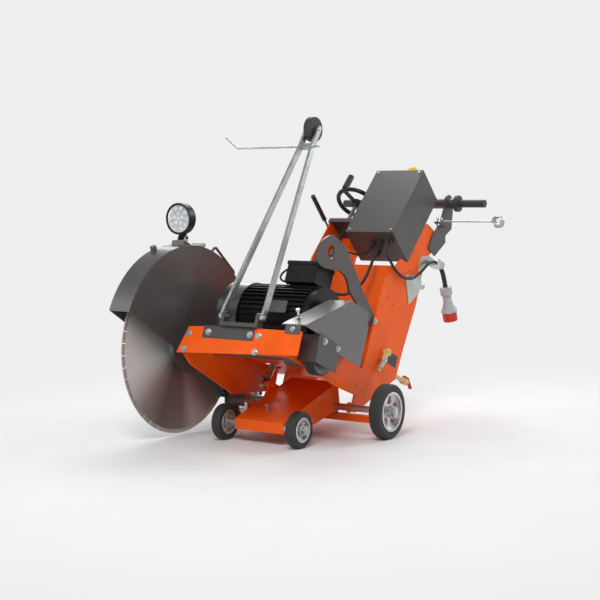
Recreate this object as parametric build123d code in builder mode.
from build123d import *
from math import atan2, cos, degrees, hypot, radians, sin, tan
import os

os.makedirs("parts", exist_ok=True)

# ---------------------------------------------------------------------------
# Driving dimensions (millimetres, degrees)
# ---------------------------------------------------------------------------

# Machine: X across, -Y ahead, +Z up; the origin is under the middle of the box.
MACHINE_X = -33.3
REAR_AXLE_Y = -64.3
FRAME_TILT = 22.0
RUN_FIT = 0.05
SOFT_GAP = 0.3

# Wheels and chassis
REAR_WHEEL_R = 100.0
REAR_WHEEL_WIDTH = 45.0
REAR_RIM_R = 72.0
REAR_TRACK = 301.0
REAR_AXLE_R = 12.5
FRONT_WHEEL_R = 65.0
FRONT_WHEEL_WIDTH = 36.0
FRONT_RIM_R = 44.0
FRONT_TRACK = 143.0
FRONT_AXLE_R = 10.0
WHEELBASE = 333.0
HUB_REACH = 1.5
WHEEL_PLAY = 1.0
NUT_THICK = 11.0
ARM_HALF = 106.0
ARM_SHEET = 6.0
ARM_NOSE = 16.0
ARM_FRONT_TOP = 84.0
ARM_FRONT_LOW = 45.0
ARM_SLOPE = 0.297
ARM_EAR_R = 24.0
BEAM_HALF = 296.0
BEAM_DEPTH = 30.0
BEAM_HEIGHT = 24.0

# Tilting frame, in its own coordinates: v runs back, w up from the rear axle
DECK_TOP = 113.0
SHEET = 6.0
DECK_FRONT = -360.0
DECK_REAR = 8.0
BAR_FACE = -576.0
LEFT_PLATE = -206.0
RIGHT_PLATE = 215.0
TOWER_HALF = 165.0
TOWER_FACE = 118.0
PIVOT_R = 20.0

# Blade, spindle and guard
BLADE_R = 325.0
BLADE_THICK = 4.0
BLADE_X = -362.0
SEGMENTS = 46
SPINDLE = (-402.0, 87.0)
SPINDLE_R = 15.0
HOUSING_R = 25.0
FLANGE_R = 50.0
GUARD_R = 370.0
GUARD_SHEET = 3.0
GUARD_NEAR = -314.0
GUARD_FAR = -407.0
GUARD_BOSS_R = 100.0
HINGE_V = -452.0
HINGE_R = 9.0

# Motor and belt drive
MOTOR = (-282.0, 245.0)
MOTOR_R = 116.0
FIN_R = 126.0
FIN_COUNT = 40
MOTOR_HALF = 150.0
COWL_END = -235.0
ROTOR_R = 19.0
DRIVE_R = 54.0
DRIVEN_R = 62.0
PULLEY_X = 228.0
PULLEY_WIDTH = 37.0
BELT_COUNT = 3
BELT_WIDTH = 10.0
BELT_THICK = 5.0
COVER_OUT = 287.0
COVER_IN = 191.0
COVER_SHEET = 2.5

# Lift screw
SCREW_X = -139.0
SCREW_LEAN = 22.7
WHEEL_CENTRE = (222.0, 902.0)
SCREW_R = 8.0
SCREW_LENGTH = 652.0
ROD_R = 14.0
ROLLER_R = 16.0
ROLLER_GAP = 1.0
ROLLER_W = 27.0
HAND_R = 82.0
HAND_RIM = 9.0

# Control box
BOX_LEAN = 23.2
BOX_CORNER = (39.0, 709.0)
BOX_DEPTH = 168.0
BOX_HEIGHT = 346.0
BOX_LEFT = -45.0
BOX_RIGHT = 170.0
BOX_SHEET = 2.0
LID_DEPTH = 14.0

# Guide
GUIDE_X = 20.0
GUIDE_PIVOT = (-575.0, 162.0)
GUIDE_LEAN = 11.8
GUIDE_SPREAD = 86.0
GUIDE_TOP_SPREAD = 26.0
GUIDE_LEG = 717.0
GUIDE_REACH = GUIDE_LEG + 78.0
GUIDE_WHEEL_R = 46.0
PIN_R = 6.0

# Handle
HANDLE = (430.0, 985.0)
HANDLE_PIVOT = (388.0, 821.0)
HANDLE_HALF = 205.0
HANDLE_TUBE_R = 21.0
GRIP_R = 16.0
GRIP_END = 336.0

# Lamp
LAMP_R = 58.0
LAMP_DEPTH = 40.0
LAMP_PIVOT = (-533.0, 462.0)
LAMP_EAR = 14.0

# ---------------------------------------------------------------------------
# Planes: every piece is placed by one of these
# ---------------------------------------------------------------------------


def place(x, v, w):
    """The point of the tilted frame at x across, v back and w up."""
    tilt = radians(FRAME_TILT)
    y = REAR_AXLE_Y + v * cos(tilt) + w * sin(tilt)
    z = REAR_WHEEL_R - v * sin(tilt) + w * cos(tilt)
    return Vector(MACHINE_X + x, y, z)


def side_plane(x, v=0.0, w=0.0, lean=0.0):
    """Faces +X; sketch coordinates run back and up, leaned rearwards."""
    turn = radians(FRAME_TILT + lean)
    return Plane(origin=place(x, v, w), x_dir=(0, cos(turn), -sin(turn)), z_dir=(1, 0, 0))


def deck_plane(x, v, w, lean=0.0):
    """Faces up along the leaned axis; sketch coordinates run across and back."""
    turn = radians(FRAME_TILT + lean)
    return Plane(origin=place(x, v, w), x_dir=(1, 0, 0), z_dir=(0, sin(turn), cos(turn)))


def front_plane(x, v, w, lean=0.0):
    """Faces ahead; sketch coordinates run across and up."""
    turn = radians(FRAME_TILT + lean)
    return Plane(origin=place(x, v, w), x_dir=(1, 0, 0), z_dir=(0, -cos(turn), sin(turn)))


def ground_side(x, back=0.0, up=0.0):
    """Faces +X in level coordinates, back from the rear axle and up from the floor."""
    return Plane(origin=(MACHINE_X + x, REAR_AXLE_Y + back, up), x_dir=(0, 1, 0), z_dir=(1, 0, 0))


def slab(plane, points, thickness, mode=Mode.ADD):
    """A flat plate with a straight-sided outline."""
    with BuildSketch(plane) as outline:
        with BuildLine():
            Polyline(*points, close=True)
        make_face()
    extrude(outline.sketch, amount=thickness, mode=mode)


def disc(plane, radius, thickness, mode=Mode.ADD):
    """A round plate, bar or bore standing on a plane."""
    with BuildSketch(plane) as outline:
        Circle(radius)
    extrude(outline.sketch, amount=thickness, mode=mode)


def block(plane, width, height, thickness, mode=Mode.ADD):
    """A rectangular block standing on the centre of a plane."""
    with BuildSketch(plane) as outline:
        Rectangle(width, height)
    extrude(outline.sketch, amount=thickness, mode=mode)


def bolt_head(plane, radius=9.0):
    """A washer, a hexagon head and the shank behind them."""
    disc(plane, radius * 1.35, 2)
    with BuildSketch(plane.offset(2)) as head:
        RegularPolygon(radius, 6)
    extrude(head.sketch, amount=radius * 0.7)


def along(origin, run, lean):
    """Frame coordinates of a point a run back and up from an origin, in leaned axes."""
    turn = radians(lean)
    back, up = run
    return (origin[0] + back * cos(turn) + up * sin(turn), origin[1] - back * sin(turn) + up * cos(turn))


# ---------------------------------------------------------------------------
# Chassis: front arm, axles and wheels
# ---------------------------------------------------------------------------

arm_front = -WHEELBASE - ARM_NOSE
arm_inside = ARM_HALF - ARM_SHEET
beam_top = REAR_WHEEL_R - ARM_EAR_R


def arm_top(back):
    return ARM_FRONT_TOP + ARM_SLOPE * (back - arm_front)


def screw_point(up):
    """Where the lift screw's axis passes a height w of the frame."""
    return (WHEEL_CENTRE[0] - tan(radians(SCREW_LEAN)) * (WHEEL_CENTRE[1] - up), up)


roller_v, roller_w = screw_point(ROLLER_W)
tilt_rad = radians(FRAME_TILT)
roller_back = roller_v * cos(tilt_rad) + roller_w * sin(tilt_rad)
roller_up = REAR_WHEEL_R - roller_v * sin(tilt_rad) + roller_w * cos(tilt_rad)
roller_pin_r = 8.0
roller_width = 18.0
roller_out = SCREW_X - roller_width / 2

with BuildPart() as front_arm:
    top_drop = ARM_SHEET * 1.05
    arm_rear = 10.0
    slab(ground_side(-ARM_HALF), [
        (arm_front, arm_top(arm_front)),
        (arm_rear, arm_top(arm_rear)),
        (arm_rear, arm_top(arm_rear) - top_drop),
        (arm_front, arm_top(arm_front) - top_drop),
    ], 2 * ARM_HALF)
    slab(ground_side(-ARM_HALF), [
        (arm_front, ARM_FRONT_LOW),
        (arm_front + ARM_SHEET, ARM_FRONT_LOW),
        (arm_front + ARM_SHEET, arm_top(arm_front)),
        (arm_front, arm_top(arm_front)),
    ], 2 * ARM_HALF)
    for flange_x in (-ARM_HALF, arm_inside):
        slab(ground_side(flange_x), [
            (arm_front, ARM_FRONT_LOW),
            (arm_front, arm_top(arm_front)),
            (arm_rear, arm_top(arm_rear)),
            (ARM_EAR_R - 4, REAR_WHEEL_R + ARM_EAR_R),
            (ARM_EAR_R - 4, REAR_WHEEL_R),
            (0, REAR_WHEEL_R - ARM_EAR_R / 2),
            (-40, REAR_WHEEL_R - ARM_EAR_R),
            (-150, ARM_FRONT_LOW + 8),
        ], ARM_SHEET)
        disc(ground_side(flange_x, 0, REAR_WHEEL_R), ARM_EAR_R, ARM_SHEET)
    slab(ground_side(-ARM_HALF), [
        (roller_back - 60, arm_top(roller_back - 60) - top_drop),
        (roller_back - 12, roller_up + 6),
        (roller_back + 12, roller_up + 6),
        (roller_back + 60, arm_top(roller_back + 60) - top_drop),
    ], ARM_SHEET)
    disc(ground_side(-ARM_HALF, roller_back, roller_up), roller_pin_r + 6, ARM_SHEET)
    disc(ground_side(SCREW_X + roller_width / 2 + WHEEL_PLAY, roller_back, roller_up),
         roller_pin_r + 4, -SCREW_X - roller_width / 2 - WHEEL_PLAY - ARM_HALF)
    disc(ground_side(roller_out - WHEEL_PLAY, roller_back, roller_up), roller_pin_r, 60)
    disc(ground_side(roller_out - WHEEL_PLAY - 3, roller_back, roller_up), roller_pin_r + 3, 3)
    disc(ground_side(-ARM_HALF, 0, REAR_WHEEL_R), REAR_AXLE_R, 2 * ARM_HALF, Mode.SUBTRACT)
    disc(ground_side(-ARM_HALF, -WHEELBASE, FRONT_WHEEL_R), FRONT_AXLE_R, 2 * ARM_HALF, Mode.SUBTRACT)
front_arm.part.label = "front_arm"
export_step(front_arm.part, "parts/front_arm.step")

with BuildPart() as lift_roller:
    disc(ground_side(roller_out, roller_back, roller_up), ROLLER_R, roller_width)
    disc(ground_side(roller_out, roller_back, roller_up), roller_pin_r + RUN_FIT, roller_width, Mode.SUBTRACT)
lift_roller.part.label = "lift_roller"
export_step(lift_roller.part, "parts/lift_roller.step")

with BuildPart() as axle_beam:
    beam_mid = beam_top - BEAM_HEIGHT / 2
    block(ground_side(-BEAM_HALF, 0, beam_mid), BEAM_DEPTH, BEAM_HEIGHT, 2 * BEAM_HALF)
    block(ground_side(-BEAM_HALF + 6, 0, beam_mid), BEAM_DEPTH - 6, BEAM_HEIGHT - 6, 2 * BEAM_HALF - 12, Mode.SUBTRACT)
    for ear_x in (-BEAM_HALF, BEAM_HALF - SHEET):
        block(ground_side(ear_x, 0, (beam_mid + REAR_WHEEL_R) / 2), BEAM_DEPTH, REAR_WHEEL_R - beam_mid, SHEET)
        disc(ground_side(ear_x, 0, REAR_WHEEL_R), PIVOT_R, SHEET)
    disc(ground_side(-BEAM_HALF, 0, REAR_WHEEL_R), REAR_AXLE_R, 2 * BEAM_HALF, Mode.SUBTRACT)
axle_beam.part.label = "axle_beam"
export_step(axle_beam.part, "parts/axle_beam.step")

rear_wheel_out = REAR_TRACK + REAR_WHEEL_WIDTH
front_wheel_out = FRONT_TRACK + FRONT_WHEEL_WIDTH
rear_nut_x = rear_wheel_out + HUB_REACH + WHEEL_PLAY
front_nut_x = front_wheel_out + HUB_REACH + WHEEL_PLAY

with BuildPart() as axles:
    rear_axle_end = rear_nut_x + NUT_THICK + 3
    rear_collar = REAR_TRACK - HUB_REACH - WHEEL_PLAY
    disc(ground_side(-rear_axle_end, 0, REAR_WHEEL_R), REAR_AXLE_R, 2 * rear_axle_end)
    for collar_x in (-rear_collar, BEAM_HALF):
        disc(ground_side(collar_x, 0, REAR_WHEEL_R), PIVOT_R, rear_collar - BEAM_HALF)
    front_axle_end = front_nut_x + NUT_THICK + 2
    front_collar = FRONT_TRACK - HUB_REACH - WHEEL_PLAY
    disc(ground_side(-front_axle_end, -WHEELBASE, FRONT_WHEEL_R), FRONT_AXLE_R, 2 * front_axle_end)
    for collar_x in (-front_collar, ARM_HALF):
        disc(ground_side(collar_x, -WHEELBASE, FRONT_WHEEL_R), FRONT_AXLE_R + 6, front_collar - ARM_HALF)
axles.part.label = "axles"
export_step(axles.part, "parts/axles.step")

with BuildPart() as chassis_fasteners:
    for nut_x, nut_back, nut_up, bore_r in (
        (rear_nut_x, 0, REAR_WHEEL_R, REAR_AXLE_R),
        (front_nut_x, -WHEELBASE, FRONT_WHEEL_R, FRONT_AXLE_R),
    ):
        for start_x in (nut_x, -nut_x - NUT_THICK):
            with BuildSketch(ground_side(start_x, nut_back, nut_up)):
                RegularPolygon(bore_r + 7, 6)
                Circle(bore_r, mode=Mode.SUBTRACT)
            extrude(amount=NUT_THICK)
    stop_back = -WHEELBASE + 62
    stop_turn = atan2(ARM_SLOPE, 1)
    stop_plane = Plane(
        origin=(MACHINE_X - 15, REAR_AXLE_Y + stop_back, arm_top(stop_back)),
        x_dir=(1, 0, 0), z_dir=(0, -sin(stop_turn), cos(stop_turn)))
    with BuildSketch(stop_plane):
        RegularPolygon(9, 6)
    extrude(amount=6)
    disc(stop_plane, 5, 27)
    with BuildSketch(stop_plane.offset(22)):
        RegularPolygon(9, 6)
    extrude(amount=7)
chassis_fasteners.part.label = "chassis_fasteners"
export_step(chassis_fasteners.part, "parts/chassis_fasteners.step")


def wheel_start(inner_x, side, width):
    """Where a wheel of the left (-1) or right (+1) side begins."""
    return inner_x if side > 0 else -inner_x - width


SPOKES = 5
for side, side_name in ((-1, "left"), (1, "right")):
    for end_name, back, inner_x, radius, width, rim_r, bore_r in (
        ("rear", 0, REAR_TRACK, REAR_WHEEL_R, REAR_WHEEL_WIDTH, REAR_RIM_R, REAR_AXLE_R),
        ("front", -WHEELBASE, FRONT_TRACK, FRONT_WHEEL_R, FRONT_WHEEL_WIDTH, FRONT_RIM_R, FRONT_AXLE_R),
    ):
        wheel_plane = ground_side(wheel_start(inner_x, side, width), back, radius)
        with BuildPart() as tyre:
            disc(wheel_plane, radius, width)
            fillet(edges().filter_by(GeomType.CIRCLE), width * 0.2)
            disc(wheel_plane, rim_r, width, Mode.SUBTRACT)
        tyre.part.label = f"{end_name}_tyre_{side_name}"
        export_step(tyre.part, f"parts/{tyre.part.label}.step")
        with BuildPart() as hub:
            disc(wheel_plane, rim_r, width)
            disc(wheel_plane, rim_r - 8, width, Mode.SUBTRACT)
            disc(wheel_plane.offset(width * 0.32), rim_r - 4, width * 0.36)
            with BuildSketch(wheel_plane):
                with PolarLocations(rim_r * 0.6, SPOKES, start_angle=90):
                    Circle(rim_r * 0.235)
            extrude(amount=width, mode=Mode.SUBTRACT)
            disc(wheel_plane.offset(-HUB_REACH), bore_r + 10, width + 2 * HUB_REACH)
            disc(wheel_plane.offset(-HUB_REACH), bore_r + RUN_FIT, width + 2 * HUB_REACH, Mode.SUBTRACT)
        hub.part.label = f"{end_name}_hub_{side_name}"
        export_step(hub.part, f"parts/{hub.part.label}.step")

# ---------------------------------------------------------------------------
# Tilting frame: deck, side plates, front bar and tower
# ---------------------------------------------------------------------------

bar_back = BAR_FACE + SHEET
deck_low = DECK_TOP - SHEET
wall_top = 137.0
insert_left = -133.0
insert_right = 87.5
insert_low = 77.0
slot_v = screw_point(deck_low)[0]

with BuildPart() as main_frame:
    # motor deck with the lift rod's hole, and the rear cross wall
    slab(deck_plane(0, 0, deck_low), [
        (LEFT_PLATE + SHEET, DECK_FRONT),
        (RIGHT_PLATE - SHEET, DECK_FRONT),
        (RIGHT_PLATE - SHEET, DECK_REAR),
        (LEFT_PLATE + SHEET, DECK_REAR),
    ], SHEET)
    slab(front_plane(0, DECK_REAR + SHEET, 0), [
        (LEFT_PLATE + SHEET, deck_low),
        (RIGHT_PLATE - SHEET, deck_low),
        (RIGHT_PLATE - SHEET, wall_top),
        (LEFT_PLATE + SHEET, wall_top),
    ], SHEET)
    disc(deck_plane(SCREW_X, slot_v, deck_low - 1), ROD_R + 20, SHEET + 2, Mode.SUBTRACT)
    # side plates
    slab(side_plane(RIGHT_PLATE - SHEET), [
        (bar_back, 44), (-329, 37), (-210, 30), (22, 39), (DECK_REAR + SHEET, wall_top), (-212, 141), (bar_back, 123),
    ], SHEET)
    slab(side_plane(LEFT_PLATE), [
        (bar_back, 20), (-517, -8), (-231, -43), (-148, -12), (22, 39), (DECK_REAR + SHEET, wall_top),
        (-140, DECK_TOP - 3), (-430, DECK_TOP - 3), (bar_back, 115),
    ], SHEET)
    # front bar with its notch, and the lip under it
    slab(front_plane(0, bar_back, 0), [
        (277, 123), (insert_right, 123), (insert_right, insert_low), (insert_left, insert_low),
        (insert_left, 119), (-200, 116), (-230, 18), (278, 39.5),
    ], SHEET)
    slab(side_plane(LEFT_PLATE + SHEET), [
        (bar_back, 42), (bar_back + 40, 42), (bar_back + 40, 48), (bar_back, 48),
    ], RIGHT_PLATE - LEFT_PLATE - 2 * SHEET)
    disc(side_plane(LEFT_PLATE, *SPINDLE), HOUSING_R, SHEET, Mode.SUBTRACT)
    disc(side_plane(RIGHT_PLATE - SHEET, *SPINDLE), HOUSING_R, SHEET, Mode.SUBTRACT)
main_frame.part.label = "main_frame"
export_step(main_frame.part, "parts/main_frame.step")

insert_top = 123.0
with BuildPart() as front_insert:
    edge_gap = 0.5
    slab(front_plane(0, bar_back, 0), [
        (insert_left + edge_gap, insert_low), (insert_right - edge_gap, insert_low),
        (insert_right - edge_gap, insert_top), (insert_left + edge_gap, insert_top),
    ], SHEET)
    slab(side_plane(insert_left + edge_gap), [
        (BAR_FACE, insert_top), (BAR_FACE, insert_top - SHEET), (BAR_FACE + 70, insert_top - SHEET),
        (BAR_FACE + 70, insert_top),
    ], insert_right - insert_left - 2 * edge_gap)
    slab(side_plane(insert_left + edge_gap), [
        (bar_back, insert_low - 12), (bar_back + 4, insert_low - 12), (bar_back + 4, insert_top - SHEET),
        (bar_back, insert_top - SHEET),
    ], insert_right - insert_left - 2 * edge_gap)
front_insert.part.label = "front_insert"
export_step(front_insert.part, "parts/front_insert.step")

upright = GUIDE_SPREAD - 20
leg_width = 10.0
leg_depth = 22.0
upright_out = GUIDE_SPREAD - leg_width / 2 - WHEEL_PLAY
with BuildPart() as guide_bracket:
    base_front = BAR_FACE - 14
    slab(side_plane(GUIDE_X - upright_out), [
        (base_front, insert_top), (BAR_FACE + 34, insert_top), (BAR_FACE + 34, insert_top + 8),
        (BAR_FACE + 10, insert_top + 14), (base_front, insert_top + 14),
    ], 2 * upright_out)
    for start_x in (GUIDE_X - upright_out, GUIDE_X + upright):
        slab(side_plane(start_x), [
            (base_front, insert_top), (BAR_FACE + 20, insert_top), (BAR_FACE + 15, GUIDE_PIVOT[1]),
            (base_front + 2, GUIDE_PIVOT[1]),
        ], upright_out - upright)
        disc(side_plane(start_x, *GUIDE_PIVOT), 15, upright_out - upright)
    disc(side_plane(GUIDE_X - upright_out, *GUIDE_PIVOT), PIN_R + RUN_FIT, 2 * upright_out, Mode.SUBTRACT)
guide_bracket.part.label = "guide_bracket"
export_step(guide_bracket.part, "parts/guide_bracket.step")

box_back_low = along(BOX_CORNER, (BOX_DEPTH, 0), BOX_LEAN)
box_back_neck = along(BOX_CORNER, (BOX_DEPTH, 185), BOX_LEAN)
cap_drop = 159.0
cap_thick = 6.0
cap_front = -77.0
cap_rear = 75.0
cap_under = cap_drop + cap_thick
cap_edge_front = along(WHEEL_CENTRE, (cap_front + 7, -cap_under), SCREW_LEAN)
cap_edge_rear = along(WHEEL_CENTRE, (cap_rear, -cap_under), SCREW_LEAN)
face_bend = BOX_CORNER[1] - 109.0
lever_pivot = (108.0, 745.0)
lever_pin_r = 4.0
lever_boss = 10.0
lever_gap = 0.5
face_top = along((TOWER_FACE, face_bend), (0, 140), SCREW_LEAN)
guide_bush_w = 385.0
TOWER_REAR = [(334, 700), (334, 511), (301, 312), (289, 189), (45, -8), (14, -12)]
NECK = [(300, 845), (395, 835), (372, 745)]

with BuildPart() as tower:
    # right plate, cut back under the control box
    slab(side_plane(TOWER_HALF - SHEET), [
        (14, wall_top), (27, 160), (43, 236), (48, 388), (62, 538), (102, 573), (150, 640),
        box_back_low, box_back_neck, *NECK, *TOWER_REAR,
    ], SHEET)
    # left plate, which carries the lift screw's cap
    slab(side_plane(-TOWER_HALF), [
        (14, wall_top), (27, 160), (27, 420), (20, 590), (85, 745), cap_edge_front, cap_edge_rear,
        (250, 780), *NECK, *TOWER_REAR,
    ], SHEET)
    for pivot_x in (-TOWER_HALF, TOWER_HALF - SHEET):
        disc(side_plane(pivot_x), PIVOT_R, SHEET)
    lever_pin = lever_gap + lever_boss + 3
    disc(side_plane(-TOWER_HALF - lever_pin, *lever_pivot), lever_pin_r, lever_pin)
    # recessed front plate, taller beside the control box
    slab(side_plane(-TOWER_HALF + SHEET), [
        (TOWER_FACE, 160), (TOWER_FACE, face_bend), (TOWER_FACE + 4, face_bend), (TOWER_FACE + 4, 160),
    ], 2 * (TOWER_HALF - SHEET))
    slab(side_plane(-TOWER_HALF + SHEET), [
        (TOWER_FACE, face_bend), face_top, (face_top[0] + 4, face_top[1] - 2), (TOWER_FACE + 4, face_bend),
    ], TOWER_HALF - SHEET + BOX_LEFT - 5)
    # neck cross plate and foot cross plate
    block(deck_plane(0, 350, 815), 2 * (TOWER_HALF - SHEET), 50, 5)
    block(deck_plane(0, 150, 150), 2 * (TOWER_HALF - SHEET), 230, 5)
    # bush that guides the lift rod
    bush = along(screw_point(guide_bush_w), (18, 0), SCREW_LEAN)
    bush_x = (-TOWER_HALF + SHEET + SCREW_X + ROD_R + 8) / 2
    bush_width = SCREW_X + ROD_R + 8 + TOWER_HALF - SHEET
    block(deck_plane(bush_x, *bush, SCREW_LEAN), bush_width, 86, 30)
    bush_v, bush_w = screw_point(guide_bush_w)
    disc(deck_plane(SCREW_X, bush_v, bush_w, SCREW_LEAN).offset(-5), ROD_R + RUN_FIT, 45, Mode.SUBTRACT)
    disc(side_plane(-TOWER_HALF), REAR_AXLE_R + RUN_FIT, 2 * TOWER_HALF, Mode.SUBTRACT)
    disc(side_plane(-TOWER_HALF, *HANDLE_PIVOT), 5 + RUN_FIT, 2 * TOWER_HALF, Mode.SUBTRACT)
tower.part.label = "tower"
export_step(tower.part, "parts/tower.step")


def screw_plane(drop):
    """Square to the lift screw, a drop below the handwheel's centre."""
    v, w = along(WHEEL_CENTRE, (0, -drop), SCREW_LEAN)
    return deck_plane(SCREW_X, v, w, SCREW_LEAN)


cap_right = BOX_LEFT - 5
with BuildPart() as tower_cap:
    with BuildSketch(screw_plane(cap_under)):
        with Locations(((-TOWER_HALF + cap_right) / 2 - SCREW_X, (cap_front + cap_rear) / 2)):
            Rectangle(cap_right + TOWER_HALF, cap_rear - cap_front)
    extrude(amount=cap_thick)
    with BuildSketch(screw_plane(cap_under + 14)):
        with Locations(((-TOWER_HALF + cap_right) / 2 - SCREW_X, cap_front + 2.5)):
            Rectangle(cap_right + TOWER_HALF, 5)
    extrude(amount=14)
    disc(screw_plane(cap_drop), SCREW_R + 12, 22)
    disc(screw_plane(cap_under + 10), SCREW_R + RUN_FIT, 50, Mode.SUBTRACT)
tower_cap.part.label = "tower_cap"
export_step(tower_cap.part, "parts/tower_cap.step")

with BuildPart() as lifting_plate:
    with BuildSketch(side_plane(TOWER_HALF - SHEET - 8)):
        with BuildLine():
            Spline((-404, 430), (-404, 496), (-376, 532), (-334, 554), (-290, 551), (-242, 540), (-203, 520))
            Polyline((-203, 520), (-131, 478), (-64, 430), (56, 372))
            ThreePointArc((56, 372), (70, 345), (40, 330))
            Polyline((40, 330), (-91, 376), (-160, 402))
            Spline((-160, 402), (-234, 448), (-300, 436), (-404, 430))
        make_face()
        with Locations((-331, 492)):
            Circle(24, mode=Mode.SUBTRACT)
    extrude(amount=8)
lifting_plate.part.label = "lifting_plate"
export_step(lifting_plate.part, "parts/lifting_plate.step")

# ---------------------------------------------------------------------------
# Lift screw, handwheel and rod
# ---------------------------------------------------------------------------

with BuildPart() as lift_screw:
    disc(screw_plane(SCREW_LENGTH), SCREW_R, SCREW_LENGTH + 14)
    disc(screw_plane(cap_drop - 34), SCREW_R + 6, 8)
lift_screw.part.label = "lift_screw"
export_step(lift_screw.part, "parts/lift_screw.step")

knob_turn = radians(-110)
knob_plane = Plane(
    origin=screw_plane(0).origin + screw_plane(0).x_dir * (HAND_R * cos(knob_turn))
    + screw_plane(0).y_dir * (HAND_R * sin(knob_turn)),
    x_dir=(1, 0, 0), z_dir=screw_plane(0).z_dir)
knob_length = 72.0
knob_pin_r = 4.0
with BuildPart() as handwheel:
    with BuildSketch(Plane(origin=screw_plane(0).origin, x_dir=(1, 0, 0), z_dir=screw_plane(0).y_dir)):
        with Locations((HAND_R, 0)):
            Circle(HAND_RIM)
    revolve(axis=Axis(screw_plane(0).origin, screw_plane(0).z_dir))
    disc(screw_plane(16), 20, 24)
    with BuildSketch(screw_plane(6)):
        with PolarLocations(HAND_R / 2, 3, start_angle=10):
            Rectangle(HAND_R, 15)
    extrude(amount=9)
    disc(screw_plane(20), SCREW_R, 40, Mode.SUBTRACT)
    disc(knob_plane, knob_pin_r, HAND_RIM + WHEEL_PLAY + knob_length)
handwheel.part.label = "handwheel"
export_step(handwheel.part, "parts/handwheel.step")

with BuildPart() as handwheel_knob:
    disc(knob_plane.offset(HAND_RIM + WHEEL_PLAY), 13, knob_length)
    fillet(edges().filter_by(GeomType.CIRCLE).group_by(Axis.Z)[-1], 5)
    disc(knob_plane, knob_pin_r + RUN_FIT, 2 * knob_length, Mode.SUBTRACT)
handwheel_knob.part.label = "handwheel_knob"
export_step(handwheel_knob.part, "parts/handwheel_knob.step")

rod_top_drop = 468.0
foot_drop = (WHEEL_CENTRE[1] - ROLLER_W) / cos(radians(SCREW_LEAN)) - ROLLER_R - ROLLER_GAP
with BuildPart() as lift_rod:
    disc(screw_plane(foot_drop), ROD_R, foot_drop - rod_top_drop)
    disc(screw_plane(foot_drop), 24, 6)
    disc(screw_plane(SCREW_LENGTH + 80), SCREW_R + RUN_FIT, SCREW_LENGTH + 80 - rod_top_drop, Mode.SUBTRACT)
lift_rod.part.label = "lift_rod"
export_step(lift_rod.part, "parts/lift_rod.step")

# ---------------------------------------------------------------------------
# Motor and belt drive
# ---------------------------------------------------------------------------

with BuildPart() as motor_housing:
    disc(side_plane(-MOTOR_HALF, *MOTOR), MOTOR_R, 2 * MOTOR_HALF)
    with BuildSketch(side_plane(-MOTOR_HALF, *MOTOR)):
        with PolarLocations((MOTOR_R + FIN_R) / 2 - 3, FIN_COUNT):
            Rectangle(FIN_R - MOTOR_R + 6, 3.2)
    extrude(amount=2 * MOTOR_HALF - 16)
    disc(side_plane(-MOTOR_HALF, *MOTOR), FIN_R, 12)
    disc(side_plane(MOTOR_HALF, *MOTOR), MOTOR_R + 4, 14)
    disc(side_plane(MOTOR_HALF + 14, *MOTOR), MOTOR_R * 0.62, 12)
    for foot_x in (-120, 76):
        slab(side_plane(foot_x), [
            (MOTOR[0] - 112, DECK_TOP), (MOTOR[0] + 112, DECK_TOP), (MOTOR[0] + 112, DECK_TOP + 12),
            (MOTOR[0] + 80, DECK_TOP + 60), (MOTOR[0] - 80, DECK_TOP + 60), (MOTOR[0] - 112, DECK_TOP + 12),
        ], 44)
    disc(side_plane(-MOTOR_HALF, *MOTOR), ROTOR_R + RUN_FIT, 2 * MOTOR_HALF + 40, Mode.SUBTRACT)
motor_housing.part.label = "motor_housing"
export_step(motor_housing.part, "parts/motor_housing.step")

with BuildPart() as fan_cowl:
    cowl_length = -MOTOR_HALF + 10 - COWL_END
    disc(side_plane(COWL_END, *MOTOR), FIN_R + 3, cowl_length)
    fillet(edges().filter_by(GeomType.CIRCLE).group_by(Axis.X)[0], 6)
    disc(side_plane(COWL_END + 4, *MOTOR), FIN_R + 0.5, cowl_length, Mode.SUBTRACT)
    with BuildSketch(side_plane(COWL_END, *MOTOR)):
        for ring in (40, 62, 84):
            with PolarLocations(ring, 12):
                Circle(6)
    extrude(amount=4, mode=Mode.SUBTRACT)
fan_cowl.part.label = "fan_cowl"
export_step(fan_cowl.part, "parts/fan_cowl.step")

TERMINAL_GLAND = -24.0
with BuildPart() as terminal_box:
    disc(side_plane(TERMINAL_GLAND, -300, 382), 9, 18)
    terminal_low = MOTOR[1] + FIN_R
    block(deck_plane(57, -285, terminal_low), 130, 110, 68)
    block(deck_plane(57, -285, terminal_low + 68), 136, 116, 14)
    fillet(edges().group_by(Axis.Z)[-1], 4)
terminal_box.part.label = "terminal_box"
export_step(terminal_box.part, "parts/terminal_box.step")

pulley_end = PULLEY_X + PULLEY_WIDTH
with BuildPart() as rotor:
    rotor_start = COWL_END + 18
    disc(side_plane(rotor_start, *MOTOR), ROTOR_R, pulley_end + 4 - rotor_start)
    disc(side_plane(rotor_start + 10, *MOTOR), 34, 34)
    with BuildSketch(side_plane(rotor_start + 10, *MOTOR)):
        with PolarLocations(66, 8):
            Rectangle(80, 5)
    extrude(amount=34)
rotor.part.label = "rotor"
export_step(rotor.part, "parts/rotor.step")


def grooved_pulley(centre, radius, bore_r):
    """A pulley with one groove for each belt."""
    disc(side_plane(PULLEY_X, *centre), radius, PULLEY_WIDTH)
    disc(side_plane(PULLEY_X, *centre), bore_r, PULLEY_WIDTH, Mode.SUBTRACT)


with BuildPart() as drive_pulley:
    grooved_pulley(MOTOR, DRIVE_R, ROTOR_R)
drive_pulley.part.label = "drive_pulley"
export_step(drive_pulley.part, "parts/drive_pulley.step")

with BuildPart() as driven_pulley:
    grooved_pulley(SPINDLE, DRIVEN_R, SPINDLE_R)
driven_pulley.part.label = "driven_pulley"
export_step(driven_pulley.part, "parts/driven_pulley.step")


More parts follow.
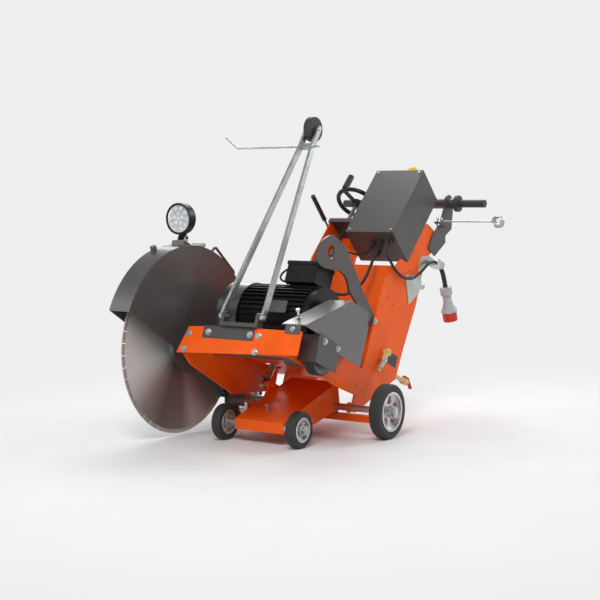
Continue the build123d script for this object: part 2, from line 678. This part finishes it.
def belt_loop(x, extra, mode=Mode.ADD):
    """The outline of a belt round both pulleys, grown by an extra."""
    with BuildSketch(side_plane(x)) as loop:
        with Locations(MOTOR):
            Circle(DRIVE_R + extra)
        with Locations(SPINDLE):
            Circle(DRIVEN_R + extra)
        make_hull()
    extrude(loop.sketch, amount=BELT_WIDTH, mode=mode)


with BuildPart() as v_belts:
    belt_pitch = PULLEY_WIDTH / BELT_COUNT
    for belt in range(BELT_COUNT):
        belt_x = PULLEY_X + belt_pitch * belt + (belt_pitch - BELT_WIDTH) / 2
        belt_loop(belt_x, SOFT_GAP + BELT_THICK)
        belt_loop(belt_x, SOFT_GAP, Mode.SUBTRACT)
v_belts.part.label = "v_belts"
export_step(v_belts.part, "parts/v_belts.step")

cover_edge = wall_top + 5
cover_outline = [(BAR_FACE, cover_edge), (BAR_FACE, 147), (-328, 313), (-205, 312), (-184, 251), (-187, cover_edge)]
with BuildPart() as belt_cover_upper:
    slab(side_plane(COVER_IN), cover_outline, COVER_OUT - COVER_IN)
    slab(side_plane(COVER_IN), [
        (BAR_FACE + COVER_SHEET, cover_edge - 1), (BAR_FACE + COVER_SHEET, 147 - COVER_SHEET / 2),
        (-327, 313 - COVER_SHEET), (-207, 312 - COVER_SHEET), (-184 - COVER_SHEET, 251),
        (-187 - COVER_SHEET, cover_edge - 1),
    ], COVER_OUT - COVER_IN - COVER_SHEET, Mode.SUBTRACT)
    slab(side_plane(COVER_OUT - COVER_SHEET), [
        (-470, 112), (-470, cover_edge), (-187, cover_edge), (-187, 112),
    ], COVER_SHEET)
    block(front_plane(240, BAR_FACE, 129), 60, 34, COVER_SHEET)
belt_cover_upper.part.label = "belt_cover_upper"
export_step(belt_cover_upper.part, "parts/belt_cover_upper.step")

with BuildPart() as belt_cover_lower:
    slab(side_plane(COVER_OUT), [
        (-484, 149), (-344, 144), (-344, 110), (-341, 46), (-478, 47),
    ], COVER_SHEET + 0.5)
    slab(side_plane(RIGHT_PLATE), [
        (-484, 140), (-478, 47), (-475, 47), (-481, 140),
    ], COVER_OUT - RIGHT_PLATE + COVER_SHEET + 0.5)
belt_cover_lower.part.label = "belt_cover_lower"
export_step(belt_cover_lower.part, "parts/belt_cover_lower.step")

# ---------------------------------------------------------------------------
# Blade spindle, blade and guard
# ---------------------------------------------------------------------------

housing_wide_x = 125.0
with BuildPart() as bearing_housing:
    disc(side_plane(GUARD_NEAR, *SPINDLE), HOUSING_R, RIGHT_PLATE + 4 - GUARD_NEAR)
    disc(side_plane(housing_wide_x, *SPINDLE), 42, RIGHT_PLATE - SHEET - housing_wide_x)
    disc(side_plane(GUARD_NEAR, *SPINDLE), 58, 8)
    disc(side_plane(GUARD_NEAR, *SPINDLE), SPINDLE_R + RUN_FIT, RIGHT_PLATE + 4 - GUARD_NEAR, Mode.SUBTRACT)
bearing_housing.part.label = "bearing_housing"
export_step(bearing_housing.part, "parts/bearing_housing.step")

blade_near = BLADE_X + BLADE_THICK / 2
blade_far = BLADE_X - BLADE_THICK / 2
flange_thick = 14.0
arbor_r = 12.7
spindle_end = blade_far - flange_thick - 16
with BuildPart() as blade_spindle:
    disc(side_plane(blade_near, *SPINDLE), SPINDLE_R, pulley_end + 3 - blade_near)
    disc(side_plane(spindle_end, *SPINDLE), arbor_r, blade_near - spindle_end)
    disc(side_plane(blade_near, *SPINDLE), FLANGE_R, flange_thick)
    disc(side_plane(blade_far - flange_thick, *SPINDLE), FLANGE_R, flange_thick)
    with BuildSketch(side_plane(blade_far - flange_thick - 13, *SPINDLE)):
        RegularPolygon(22, 6)
    extrude(amount=13)
blade_spindle.part.label = "blade_spindle"
export_step(blade_spindle.part, "parts/blade_spindle.step")

with BuildPart() as blade:
    disc(side_plane(blade_far, *SPINDLE), BLADE_R, BLADE_THICK)
    with BuildSketch(side_plane(blade_far, *SPINDLE)):
        Circle(arbor_r)
        with PolarLocations(BLADE_R - 7, SEGMENTS):
            Rectangle(24, 3)
    extrude(amount=BLADE_THICK, mode=Mode.SUBTRACT)
blade.part.label = "blade"
export_step(blade.part, "parts/blade.step")

hinge_w = SPINDLE[1] + (GUARD_R ** 2 - (HINGE_V - SPINDLE[0]) ** 2) ** 0.5 + HINGE_R
guard_width = GUARD_NEAR - GUARD_FAR
SEAM_GAP = 1.5
seam_low_v = -482.0


def guard_edge(v):
    """Height of the guard's lower edge."""
    return 101 - 0.1664 * (v + 775)


def guard_half(outline, radius, start_x, width, mode=Mode.ADD):
    """The part of the guard's round shape that lies inside an outline."""
    with BuildSketch(side_plane(start_x)) as half:
        with Locations(SPINDLE):
            Circle(radius)
        with BuildLine():
            Polyline(*outline, close=True)
        make_face(mode=Mode.INTERSECT)
    extrude(half.sketch, amount=width, mode=mode)


def seam_line(shift):
    """The seam between the halves, shifted along v."""
    return [(HINGE_V + shift, 480), (seam_low_v + shift, guard_edge(seam_low_v))]


seam_top, seam_low = seam_line(0)
rear_outline = [seam_top, (20, 480), (20, guard_edge(20)), seam_low]
seam_top, seam_low = seam_line(-SEAM_GAP)
front_outline = [seam_top, (-800, 480), (-800, guard_edge(-800)), seam_low]

bracket_v = -128.0
bracket_w = 20.0
arch_r = REAR_WHEEL_R + 4
arch_x = -REAR_TRACK - REAR_WHEEL_WIDTH - 4
with BuildPart() as guard_rear:
    guard_half(rear_outline, GUARD_R, GUARD_FAR, guard_width)
    for plate_x in (GUARD_FAR, GUARD_NEAR - GUARD_SHEET):
        disc(side_plane(plate_x, *SPINDLE), GUARD_BOSS_R, GUARD_SHEET)
    guard_half([(HINGE_V - 60, 500), (60, 500), (60, -120), (HINGE_V - 60, -120)], GUARD_R - GUARD_SHEET,
               GUARD_FAR + GUARD_SHEET, guard_width - 2 * GUARD_SHEET, Mode.SUBTRACT)
    disc(side_plane(GUARD_NEAR - GUARD_SHEET, *SPINDLE), SPINDLE_R + 3, GUARD_SHEET, Mode.SUBTRACT)
    # recess that the left rear wheel turns in
    disc(side_plane(arch_x), arch_r, GUARD_NEAR - arch_x, Mode.SUBTRACT)
    with BuildSketch(side_plane(arch_x - GUARD_SHEET)):
        with Locations(SPINDLE):
            Circle(GUARD_R)
        Circle(arch_r, mode=Mode.INTERSECT)
        with BuildLine():
            Polyline(*rear_outline, close=True)
        make_face(mode=Mode.INTERSECT)
    extrude(amount=GUARD_SHEET)
    # hinge tube on its two saddles
    disc(side_plane(GUARD_NEAR - 60, HINGE_V, hinge_w), HINGE_R, 52)
    # rear support bracket and its distance tube
    slab(side_plane(GUARD_NEAR + 17), [
        (-150, -2), (-148, 38), (-95, 38), (-50, 28), (-30, 12), (-28, -44), (-113, -58),
    ], SHEET)
    disc(side_plane(GUARD_NEAR, bracket_v, bracket_w), 12, LEFT_PLATE - GUARD_NEAR)
    # wire grab handle
    with BuildLine() as grab_wire:
        FilletPolyline(place(-335, -392, 452), place(-335, -370, 486), place(-335, -228, 438),
                       place(-335, -216, 402), radius=8)
    with BuildSketch(Plane(origin=grab_wire.line @ 0, z_dir=grab_wire.line % 0)):
        Circle(5)
    sweep()
guard_rear.part.label = "guard_rear"
export_step(guard_rear.part, "parts/guard_rear.step")

knob_v, knob_w = -628.0, 359.0
knob_lean = degrees(atan2(knob_v - SPINDLE[0], knob_w - SPINDLE[1]))
with BuildPart() as guard_front:
    guard_half(front_outline, GUARD_R, GUARD_FAR, guard_width)
    guard_half([(-900, 500), (-300, 500), (-300, -120), (-900, -120)], GUARD_R - GUARD_SHEET,
               GUARD_FAR + GUARD_SHEET, guard_width - 2 * GUARD_SHEET, Mode.SUBTRACT)
    disc(side_plane(GUARD_FAR, *SPINDLE), GUARD_BOSS_R + 1, guard_width, Mode.SUBTRACT)
    knob_seat = along(SPINDLE, (0, GUARD_R - 2), knob_lean)
    disc(deck_plane(GUARD_FAR + 16, *knob_seat, knob_lean), 12, 20)
    # lamp foot and its two ears, kept out of the blade's space
    block(deck_plane(BLADE_X, LAMP_PIVOT[0], LAMP_PIVOT[1] - 42), 56, 44, 24)
    for start_x in (BLADE_X - LAMP_EAR - 4, BLADE_X + LAMP_EAR):
        slab(side_plane(start_x, *LAMP_PIVOT), [(-12, -20), (12, -20), (9, 2), (-9, 2)], 4)
        disc(side_plane(start_x, *LAMP_PIVOT), 9, 4)
    disc(side_plane(BLADE_X - 40, *SPINDLE), GUARD_R - GUARD_SHEET, 80, Mode.SUBTRACT)
    disc(side_plane(BLADE_X - 20, *LAMP_PIVOT), 4 + RUN_FIT, 40, Mode.SUBTRACT)
guard_front.part.label = "guard_front"
export_step(guard_front.part, "parts/guard_front.step")

with BuildPart() as lamp_head:
    lamp_mid = along(LAMP_PIVOT, (-8, LAMP_R + 12), -FRAME_TILT)
    lamp_face = front_plane(BLADE_X, *lamp_mid, -FRAME_TILT)
    disc(lamp_face.offset(-LAMP_DEPTH / 2), LAMP_R, LAMP_DEPTH)
    fillet(edges().filter_by(GeomType.CIRCLE).group_by(Axis.Y)[-1], 12)
    disc(lamp_face.offset(LAMP_DEPTH / 2 - 3), LAMP_R - 7, 3, Mode.SUBTRACT)
    slab(side_plane(BLADE_X - 11, *LAMP_PIVOT, -FRAME_TILT), [(-9, 0), (9, 0), (9, 22), (-16, 22)], 22)
    disc(side_plane(BLADE_X - 11, *LAMP_PIVOT), 9, 22)
    disc(side_plane(BLADE_X - LAMP_EAR - 8, *LAMP_PIVOT), 4, 2 * LAMP_EAR + 16)
lamp_head.part.label = "lamp_head"
export_step(lamp_head.part, "parts/lamp_head.step")

# ---------------------------------------------------------------------------
# Guide: folding frame, wheel and pointer
# ---------------------------------------------------------------------------


guide_face = front_plane(GUIDE_X, *GUIDE_PIVOT, GUIDE_LEAN)
fork_inside = GUIDE_TOP_SPREAD - leg_width / 2
with BuildPart() as guide_frame:
    with BuildSketch(guide_face.offset(-leg_depth / 2)):
        for side in (-1, 1):
            low_in = side * (GUIDE_SPREAD - leg_width / 2)
            low_out = side * (GUIDE_SPREAD + leg_width / 2)
            top_in = side * fork_inside
            top_out = side * (fork_inside + leg_width)
            with BuildLine():
                Polyline((low_in, 0), (low_out, 0), (low_out, 30), (top_out, GUIDE_LEG),
                         (top_out, GUIDE_REACH), (top_in, GUIDE_REACH), (top_in, GUIDE_LEG), (low_in, 30), close=True)
            make_face()
    extrude(amount=leg_depth)
    for start_x in (-GUIDE_SPREAD - leg_width / 2, GUIDE_SPREAD - leg_width / 2):
        disc(side_plane(GUIDE_X + start_x, *GUIDE_PIVOT), leg_depth / 2 + 2, leg_width)
    pin_end = GUIDE_SPREAD + leg_width / 2 + 8
    for start_x, length in ((-pin_end, pin_end - upright + 6), (upright - 6, pin_end - upright + 6)):
        disc(side_plane(GUIDE_X + start_x, *GUIDE_PIVOT), PIN_R, length)
    cross_v, cross_w = along(GUIDE_PIVOT, (0, GUIDE_LEG), GUIDE_LEAN)
    for start_x in (-fork_inside - leg_width, fork_inside):
        disc(side_plane(GUIDE_X + start_x, *along(GUIDE_PIVOT, (0, GUIDE_REACH), GUIDE_LEAN)), leg_depth / 2, leg_width)
    block(side_plane(GUIDE_X - fork_inside, cross_v, cross_w, GUIDE_LEAN), 18, 18, 2 * fork_inside)
    disc(side_plane(GUIDE_X - 60, cross_v, cross_w), 4 + RUN_FIT, 120, Mode.SUBTRACT)
    disc(side_plane(GUIDE_X - fork_inside - leg_width - 3, *along(GUIDE_PIVOT, (0, GUIDE_REACH), GUIDE_LEAN)),
         PIN_R, 2 * fork_inside + 2 * leg_width + 6)
guide_frame.part.label = "guide_frame"
export_step(guide_frame.part, "parts/guide_frame.step")

guide_wheel_centre = along(GUIDE_PIVOT, (0, GUIDE_REACH), GUIDE_LEAN)
guide_wheel_half = fork_inside - WHEEL_PLAY
with BuildPart() as guide_wheel:
    disc(side_plane(GUIDE_X - guide_wheel_half + 5, *guide_wheel_centre), GUIDE_WHEEL_R, 2 * guide_wheel_half - 10)
    fillet(edges().filter_by(GeomType.CIRCLE), 6)
    disc(side_plane(GUIDE_X - guide_wheel_half, *guide_wheel_centre), PIN_R + 8, 2 * guide_wheel_half)
    disc(side_plane(GUIDE_X - guide_wheel_half, *guide_wheel_centre), PIN_R + RUN_FIT, 2 * guide_wheel_half, Mode.SUBTRACT)
guide_wheel.part.label = "guide_wheel"
export_step(guide_wheel.part, "parts/guide_wheel.step")

pointer_left = -295.0
pointer_tip = (-348.0, 42.0)
pointer_right = 76.0
with BuildPart() as pointer_rod:
    pointer_origin = place(0, cross_v, cross_w)
    with BuildLine() as pointer_path:
        FilletPolyline(
            pointer_origin + Vector(pointer_right, 0, 0),
            pointer_origin + Vector(pointer_left, 0, 0),
            pointer_origin + Vector(pointer_tip[0], 0, pointer_tip[1]), radius=18)
    with BuildSketch(Plane(origin=pointer_path.line @ 0, z_dir=pointer_path.line % 0)):
        Circle(4)
    sweep()
pointer_rod.part.label = "pointer_rod"
export_step(pointer_rod.part, "parts/pointer_rod.step")

# ---------------------------------------------------------------------------
# Control box and what is on it
# ---------------------------------------------------------------------------

box_width = BOX_RIGHT - BOX_LEFT
box_mid_x = (BOX_LEFT + BOX_RIGHT) / 2


def box_side(x):
    return side_plane(x, *BOX_CORNER, BOX_LEAN)


def box_end(depth, height, x=box_mid_x):
    """Faces up the box, at a depth behind the lid and a height above the low end."""
    return deck_plane(x, *along(BOX_CORNER, (depth, height), BOX_LEAN), BOX_LEAN)


def rectangle_points(low, high):
    return [(low[0], low[1]), (high[0], low[1]), (high[0], high[1]), (low[0], high[1])]


button_r = 11.0
estop_stem_r = 8.0
panel = (("start_button", 120.0, 20.0), ("stop_button", 120.0, -30.0), ("emergency_stop", 118.0, -75.0))
glands = ((60.0, 62.0), (100.0, 52.0), (150.0, 40.0), (60.0, 112.0))

with BuildPart() as control_box:
    slab(box_side(BOX_LEFT), rectangle_points((LID_DEPTH, 0), (BOX_DEPTH, BOX_HEIGHT)), box_width)
    slab(box_side(BOX_LEFT + BOX_SHEET),
         rectangle_points((LID_DEPTH - 1, BOX_SHEET), (BOX_DEPTH - BOX_SHEET, BOX_HEIGHT - BOX_SHEET)),
         box_width - 2 * BOX_SHEET, Mode.SUBTRACT)
    for piece, depth, across in panel:
        bore_r = estop_stem_r if piece == "emergency_stop" else button_r
        disc(box_end(depth, BOX_HEIGHT - 5, box_mid_x + across), bore_r + 2 * RUN_FIT, 10, Mode.SUBTRACT)
control_box.part.label = "control_box"
export_step(control_box.part, "parts/control_box.step")

with BuildPart() as control_lid:
    slab(box_side(BOX_LEFT), rectangle_points((0, 0), (LID_DEPTH, BOX_HEIGHT)), box_width)
    slab(box_side(BOX_LEFT + BOX_SHEET),
         rectangle_points((BOX_SHEET, BOX_SHEET), (LID_DEPTH + 1, BOX_HEIGHT - BOX_SHEET)),
         box_width - 2 * BOX_SHEET, Mode.SUBTRACT)
control_lid.part.label = "control_lid"
export_step(control_lid.part, "parts/control_lid.step")

for piece, depth, across in panel:
    with BuildPart() as button:
        top_plane = box_end(depth, BOX_HEIGHT, box_mid_x + across)
        if piece == "emergency_stop":
            disc(top_plane.offset(-14), estop_stem_r, 22)
            disc(top_plane.offset(8), 19, 10)
            fillet(edges().filter_by(GeomType.CIRCLE).group_by(Axis.Z)[-1], 4)
        else:
            disc(top_plane.offset(-12), button_r, 17)
            disc(top_plane.offset(-12), button_r + 3, 5)
    button.part.label = piece
    export_step(button.part, f"parts/{piece}.step")

with BuildPart() as amber_dome:
    dome_plane = box_end(26, BOX_HEIGHT, box_mid_x + 42)
    disc(dome_plane, 24, 8)
    disc(dome_plane.offset(8), 21, 26)
    fillet(edges().filter_by(GeomType.CIRCLE).group_by(Axis.Z)[-1], 14)
amber_dome.part.label = "amber_dome"
export_step(amber_dome.part, "parts/amber_dome.step")

gland_length = 26.0
with BuildPart() as cable_glands:
    for gland_x, depth in glands:
        gland_plane = box_end(depth, 0, gland_x)
        disc(gland_plane.offset(-gland_length), 10, gland_length)
        with BuildSketch(gland_plane.offset(-12)):
            RegularPolygon(14, 6)
        extrude(amount=8)
cable_glands.part.label = "cable_glands"
export_step(cable_glands.part, "parts/cable_glands.step")

# ---------------------------------------------------------------------------
# Handle, cable boom and levers
# ---------------------------------------------------------------------------

handle_sheet = 6.0
boom_v, boom_w, boom_x = 352.0, HANDLE[1] - 109.0, 186.0
with BuildPart() as handlebar:
    disc(side_plane(-HANDLE_HALF, *HANDLE), HANDLE_TUBE_R, 2 * HANDLE_HALF)
    disc(side_plane(-GRIP_END + 6, *HANDLE), 11, 2 * GRIP_END - 12)
    for plate_x in (-TOWER_HALF - handle_sheet, TOWER_HALF):
        slab(side_plane(plate_x), [
            (337, 752), (398, 742), (464, 825), (453, 852), (493, 896), (472, 985), (404, 985), (395, 900), (348, 808),
        ], handle_sheet)
        disc(side_plane(plate_x, *HANDLE), 36, handle_sheet)
    pivot_reach = TOWER_HALF - SHEET - 6
    for start_x in (-TOWER_HALF - handle_sheet, pivot_reach):
        disc(side_plane(start_x, *HANDLE_PIVOT), 5, TOWER_HALF + handle_sheet - pivot_reach)
    slab(side_plane(TOWER_HALF + handle_sheet), [
        (boom_v - 14, boom_w - 12), (boom_v + 40, boom_w - 12), (boom_v + 40, boom_w - 6), (boom_v - 14, boom_w - 6),
    ], boom_x + 12 - TOWER_HALF - handle_sheet)
    disc(deck_plane(boom_x, boom_v, boom_w - 20), 4 + RUN_FIT, 30, Mode.SUBTRACT)
handlebar.part.label = "handlebar"
export_step(handlebar.part, "parts/handlebar.step")

with BuildPart() as grips:
    for side in (-1, 1):
        flange_x = HANDLE_HALF if side > 0 else -HANDLE_HALF - 14
        grip_x = HANDLE_HALF if side > 0 else -GRIP_END
        disc(side_plane(grip_x, *HANDLE), GRIP_R, GRIP_END - HANDLE_HALF)
        disc(side_plane(flange_x, *HANDLE), 34, 14)
    disc(side_plane(-GRIP_END + 6, *HANDLE), 11, 2 * GRIP_END - 12, Mode.SUBTRACT)
grips.part.label = "grips"
export_step(grips.part, "parts/grips.step")

boom_length = 250.0
boom_wire_r = 3.0
coil_r = 21.0
coil_pitch = 9.0
coil_height = 3 * coil_pitch
coil_side = Vector(-0.94, 0.34, 0)
coil_way = Vector(-0.34, -0.94, 0)
with BuildPart() as cable_boom:
    disc(deck_plane(boom_x, boom_v, boom_w - 16), 4, 26)
    disc(deck_plane(boom_x, boom_v, boom_w - 18), 8, 5)
    disc(deck_plane(boom_x, boom_v, boom_w - 5.5), 9, 11)
    with BuildSketch(deck_plane(boom_x, boom_v, boom_w + 6)):
        with PolarLocations(9, 5):
            Circle(5)
        Circle(9)
    extrude(amount=8)
    disc(side_plane(boom_x, boom_v, boom_w), boom_wire_r, boom_length)
    # open coil that the cable runs through, with the wire's end between its loops
    coil_centre = place(boom_x + boom_length - boom_wire_r, boom_v, boom_w) - coil_side * coil_r
    with BuildLine() as coil:
        Helix(coil_pitch, coil_height, coil_r, center=coil_centre - coil_way * (coil_height / 2), direction=coil_way)
    with BuildSketch(Plane(origin=coil.line @ 0, z_dir=coil.line % 0)):
        Circle(boom_wire_r)
    sweep(path=coil.line, is_frenet=True)
cable_boom.part.label = "cable_boom"
export_step(cable_boom.part, "parts/cable_boom.step")

lever_tip = (-53.0, 823.0)
lever_turn = degrees(atan2(lever_tip[0] - lever_pivot[0], lever_tip[1] - lever_pivot[1]))
lever_length = hypot(lever_tip[0] - lever_pivot[0], lever_tip[1] - lever_pivot[1])
with BuildPart() as brake_lever:
    lever_x = -TOWER_HALF - lever_gap - lever_boss / 2
    disc(side_plane(lever_x - lever_boss / 2, *lever_pivot), 11, lever_boss)
    disc(deck_plane(lever_x, *lever_pivot, lever_turn), 4, 60)
    disc(deck_plane(lever_x, *lever_pivot, lever_turn).offset(50), 9, lever_length - 50)
    disc(side_plane(lever_x - 20, *lever_pivot), lever_pin_r + RUN_FIT, 40, Mode.SUBTRACT)
brake_lever.part.label = "brake_lever"
export_step(brake_lever.part, "parts/brake_lever.step")

# ---------------------------------------------------------------------------
# Water supply and cable hooks
# ---------------------------------------------------------------------------

valve = (385.0, 206.0)
valve_x = 150.0
stem_r = 4.0
with BuildPart() as water_fitting:
    disc(side_plane(TOWER_HALF, 165, 262), 13, 24)
    disc(deck_plane(TOWER_HALF + 16, 165, 274, 24).offset(-92), 10, 92)
    disc(deck_plane(TOWER_HALF + 16, 165, 274, 24).offset(-62), 14, 16)
    disc(deck_plane(TOWER_HALF + 16, 165, 274, 24).offset(-110), 7, 40)
    disc(front_plane(valve_x, valve[0] + 14, valve[1]), 9, 110)
    disc(front_plane(valve_x, valve[0] + 16, valve[1]), 14, 32)
    disc(deck_plane(valve_x, *valve), stem_r, 23)
water_fitting.part.label = "water_fitting"
export_step(water_fitting.part, "parts/water_fitting.step")

with BuildPart() as valve_lever:
    valve_top = deck_plane(valve_x, *valve, 0).offset(14.3)
    disc(valve_top, 8, 6)
    slab(side_plane(valve_x - 7, *valve), [(-8, 16), (18, 16), (60, -16), (62, -11), (20, 20.3), (-8, 20.3)], 14)
    disc(valve_top.offset(-14.3), stem_r + RUN_FIT, 40, Mode.SUBTRACT)
valve_lever.part.label = "valve_lever"
export_step(valve_lever.part, "parts/valve_lever.step")

with BuildPart() as cable_hooks:
    slab(side_plane(TOWER_HALF), [(203, 592), (319, 632), (333, 600), (333, 560), (272, 490)], 3)
    slab(side_plane(TOWER_HALF), [(319, 632), (333, 600), (333, 575), (368, 588), (372, 606), (364, 606), (345, 596)], 3)
    slab(side_plane(TOWER_HALF), [(296, 640), (296, 700), (355, 728), (425, 728), (425, 694), (350, 690), (330, 646)], 4)
    slab(side_plane(TOWER_HALF), [(368, 694), (368, 698), (425, 698), (425, 694)], 44)
    slab(side_plane(TOWER_HALF + 41), [(368, 694), (368, 720), (425, 720), (425, 694)], 3)
cable_hooks.part.label = "cable_hooks"
export_step(cable_hooks.part, "parts/cable_hooks.step")

# ---------------------------------------------------------------------------
# Cables: straight runs joined by tangent arcs
# ---------------------------------------------------------------------------


def cord_path(points):
    """The corner radii that a route allows: 0.45 of the shorter run over tan(half turn)."""
    radii = []
    for before, corner, after in zip(points, points[1:], points[2:]):
        turn = radians((corner - before).get_angle(after - corner))
        shorter = min((corner - before).length, (after - corner).length)
        radii.append(0.45 * shorter / tan(turn / 2))
    return radii


def gland_tip(index):
    gland_x, depth = glands[index]
    return (gland_x, *along(BOX_CORNER, (depth, -gland_length), BOX_LEAN))


PLUG_TOP = (195.0, 492.0, 641.0)
PLUG_END = (212.0, 583.0, 503.0)
SUPPLY_R = 5.5
MOTOR_CABLE_R = 6.0
LAMP_CABLE_R = 4.0
terminal_rear = -227.0
routes = {
    "supply_cord": (SUPPLY_R, [
        gland_tip(2), (152, 55, 642), (163, 63, 610), (174, 100, 580), (179, 155, 568), (180, 212, 577),
        (181, 262, 604), (183, 302, 646), (185, 334, 688), (187, 374, 712), (189, 420, 710), (192, 462, 684), PLUG_TOP]),
    "motor_cable": (MOTOR_CABLE_R, [
        gland_tip(1), (98, 64, 632), (95, 54, 580), (88, 46, 522), (80, 16, 466), (72, -40, 424), (66, -106, 404),
        (64, -170, 402), (64, terminal_rear, 406)]),
    "lamp_cable": (LAMP_CABLE_R, [
        gland_tip(0), (58, 72, 634), (54, 26, 606), (50, -34, 596), (44, -92, 578), (34, -144, 548), (18, -190, 512),
        (-4, -228, 484), (-34, -254, 462), (-60, -276, 436), (-70, -290, 406), (-50, -298, 385),
        (TERMINAL_GLAND, -300, 382)]),
}
for cord_name, (cord_r, route) in routes.items():
    corners = [place(*point) for point in route]
    radii = cord_path(corners)
    with BuildLine() as cord_line:
        FilletPolyline(*corners, radius=radii)
    with BuildPart() as cord:
        with BuildSketch(Plane(origin=cord_line.line @ 0, z_dir=cord_line.line % 0)):
            Circle(cord_r)
        sweep(path=cord_line.line)
    cord.part.label = cord_name
    export_step(cord.part, f"parts/{cord_name}.step")
    print(cord_name, "length", round(sum(edge.length for edge in cord_line.edges()), 1), "volume", round(cord.part.volume),
          "radii", [round(bend) for bend in radii])

plug_start = place(*PLUG_TOP)
plug_way = place(*PLUG_END) - plug_start
plug_length = plug_way.length
supply_corners = [place(*point) for point in routes["supply_cord"][1]]
plug_plane = Plane(origin=plug_start, z_dir=supply_corners[-1] - supply_corners[-2])
with BuildPart() as supply_plug:
    disc(plug_plane, 13, 30)
    disc(plug_plane.offset(12), 25, plug_length * 0.5)
    disc(plug_plane.offset(12 + plug_length * 0.5), 33, 10)
    disc(plug_plane.offset(22 + plug_length * 0.5), 30, plug_length * 0.3)
supply_plug.part.label = "supply_plug"
export_step(supply_plug.part, "parts/supply_plug.step")

# ---------------------------------------------------------------------------
# Bolts of the tilting frame
# ---------------------------------------------------------------------------

with BuildPart() as fasteners:
    for bolt_x, bolt_w in ((-193, 90), (-199, 33), (108, 96), (106, 40)):
        bolt_head(front_plane(bolt_x, BAR_FACE, bolt_w))
    for bolt_x in (-109, 70):
        bolt_head(front_plane(bolt_x, BAR_FACE, 99))
    for bolt_v, bolt_w in ((-449, 128), (-362, 128)):
        bolt_head(side_plane(COVER_OUT + COVER_SHEET + 0.5, bolt_v, bolt_w))
    bolt_head(front_plane(240, BAR_FACE - COVER_SHEET, 129), 7)
    bolt_head(side_plane(TOWER_HALF, 48, 352))
    for lid_depth_x in (BOX_LEFT + 14, BOX_RIGHT - 14):
        for lid_up in (14, BOX_HEIGHT - 14):
            bolt_head(front_plane(lid_depth_x, *along(BOX_CORNER, (0, lid_up), BOX_LEAN), BOX_LEAN), 4)
fasteners.part.label = "fasteners"
export_step(fasteners.part, "parts/fasteners.step")
